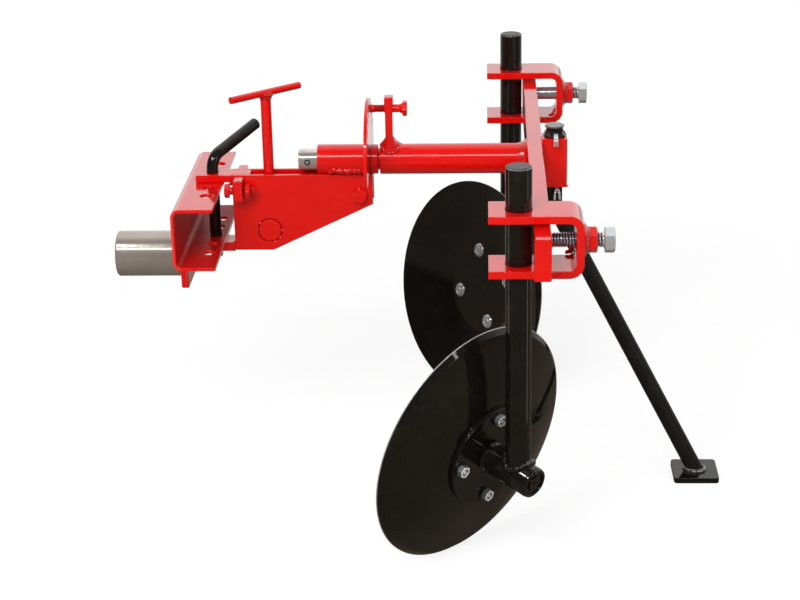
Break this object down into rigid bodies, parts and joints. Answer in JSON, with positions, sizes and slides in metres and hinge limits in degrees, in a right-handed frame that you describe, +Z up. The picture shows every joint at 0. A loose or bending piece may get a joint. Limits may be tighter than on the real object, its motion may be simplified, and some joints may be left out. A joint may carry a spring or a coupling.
{
  "type": "twin disc ridger for a walk-behind tractor",
  "caption": "Rear-mounted ridging tool: cross toolbar on a pivoting offset hitch with a round stub, angled free-turning discs on clamped round posts, and a parking stand.",
  "frame": {"origin": "middle of the whole machine on X and Y, on the floor it stands on", "axes": "+X towards the stand at the rear, the coupling stub points to -X; +Y to the far side across the toolbar; +Z up"},
  "size_m": [1.0376, 1.02, 0.6894],
  "materials": {
    "red_paint": "glossy enamel",
    "black_paint": "glossy enamel",
    "zinc": "bright zinc plate",
    "turned_steel": "turned bare steel"
  },
  "bodies": {
    "toolbar": {"toolbar_bar": "red_paint", "main_tube": "red_paint", "pivot_shaft": "turned_steel", "shaft_pin": "turned_steel", "shaft_collar": "red_paint", "index_arm": "red_paint", "index_bolt": "red_paint", "near_clamp_strap": "red_paint", "near_clamp_nut": "red_paint", "near_clamp_bolt": "zinc", "far_clamp_strap": "red_paint", "far_clamp_nut": "red_paint", "far_clamp_bolt": "zinc", "stand_socket": "red_paint"},
    "hitch_block": {"pivot_sleeve": "red_paint", "index_plate": "red_paint", "near_side_plate": "red_paint", "far_side_plate": "red_paint", "cross_pin": "red_paint", "tee_spindle": "red_paint", "tee_bar": "red_paint", "tie_bolt": "red_paint", "top_lug": "red_paint", "bottom_lug": "red_paint", "hinge_pin": "black_paint", "near_set_block": "red_paint", "far_set_block": "red_paint", "near_set_screw": "red_paint", "far_set_screw": "red_paint"},
    "hitch_head": {"offset_channel": "red_paint", "spigot_plate": "red_paint", "coupling_spigot": "turned_steel"},
    "near_post_arm": {"near_post": "black_paint", "near_bearing_tube": "black_paint", "near_bearing_cap": "black_paint"},
    "far_post_arm": {"far_post": "black_paint", "far_bearing_tube": "black_paint", "far_bearing_cap": "black_paint"},
    "near_disc_wheel": {"near_disc": "black_paint", "near_disc_flange": "black_paint"},
    "far_disc_wheel": {"far_disc": "black_paint", "far_disc_flange": "black_paint"},
    "stand": {"stand_leg": "black_paint", "stand_foot": "black_paint", "stand_ring": "black_paint"}
  },
  "joints": [
    {"name": "hitch_roll", "type": "hinge", "parent": "toolbar", "child": "hitch_block", "pos_m": [-0.126, 0, 0.5639], "axis": [1, 0, 0], "range_deg": [-60, 60]},
    {"name": "hitch_swing", "type": "hinge", "parent": "hitch_block", "child": "hitch_head", "pos_m": [-0.34778, 0, 0.4785], "axis": [0, 0, 1], "range_deg": [-3, 3]},
    {"name": "near_disc_angle", "type": "hinge", "parent": "toolbar", "child": "near_post_arm", "pos_m": [0.16402, -0.418, 0.5639], "axis": [0, 0, 1], "range_deg": [-20, 20]},
    {"name": "far_disc_angle", "type": "hinge", "parent": "toolbar", "child": "far_post_arm", "pos_m": [0.16402, 0.418, 0.5639], "axis": [0, 0, 1], "range_deg": [-20, 20]},
    {"name": "near_disc_turn", "type": "hinge", "parent": "near_post_arm", "child": "near_disc_wheel", "pos_m": [0.16402, -0.418, 0.1799], "axis": [0.7149, -0.6737, -0.1874], "continuous": true},
    {"name": "far_disc_turn", "type": "hinge", "parent": "far_post_arm", "child": "far_disc_wheel", "pos_m": [0.16402, 0.418, 0.1799], "axis": [0.7525, 0.6314, -0.1874], "continuous": true},
    {"name": "stand_turn", "type": "hinge", "parent": "toolbar", "child": "stand", "pos_m": [0.23122, 0, 0.5639], "axis": [0, 0, 1], "range_deg": [-30, 55]}
  ]
}
